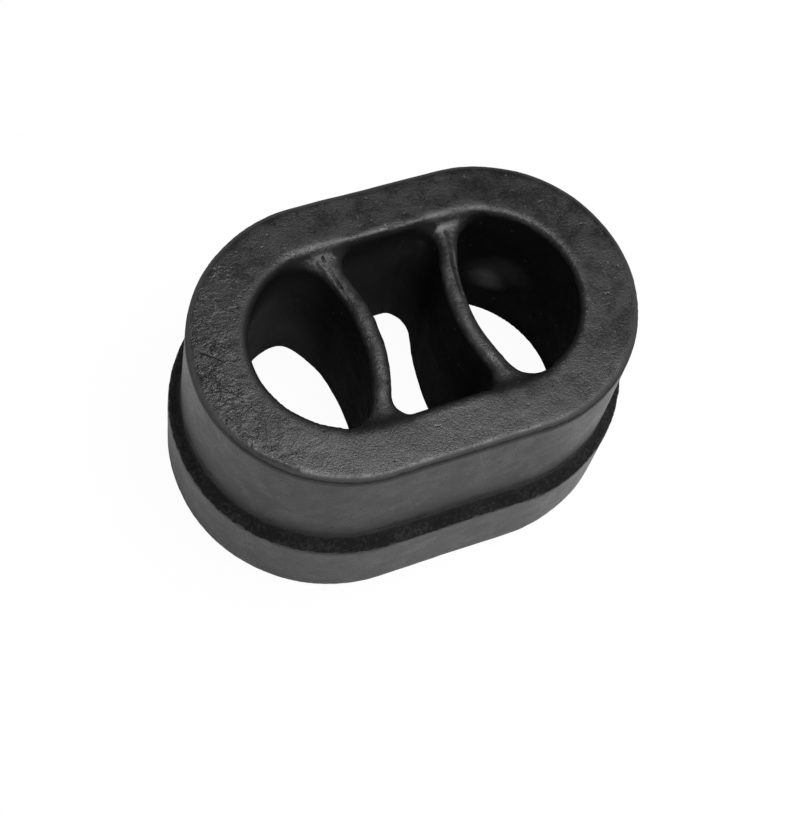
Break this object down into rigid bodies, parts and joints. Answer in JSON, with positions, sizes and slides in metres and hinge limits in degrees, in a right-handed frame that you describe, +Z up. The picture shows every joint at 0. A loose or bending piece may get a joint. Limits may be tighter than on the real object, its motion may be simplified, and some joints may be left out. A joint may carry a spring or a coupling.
{
  "type": "exhaust hanger rubber",
  "caption": "Oval moulded exhaust hanger rubber with a stepped outside, through cavities that take the hanger rods, and thin bowed webs between the cavities.",
  "frame": {"origin": "centre of the block's foot face, on the surface it stands on", "axes": "+X along the length of the oval, +Y across it, +Z up from the wider stepped foot to the top face with the rounded cavity rims"},
  "size_m": [0.0722, 0.0502, 0.0361],
  "materials": {
    "hanger_rubber": "matt moulded black rubber with a fine grain, a dull bloom on the flat faces and a rougher matt step"
  },
  "bodies": {
    "root": {"hanger_rubber": "hanger_rubber"}
  },
  "joints": []
}
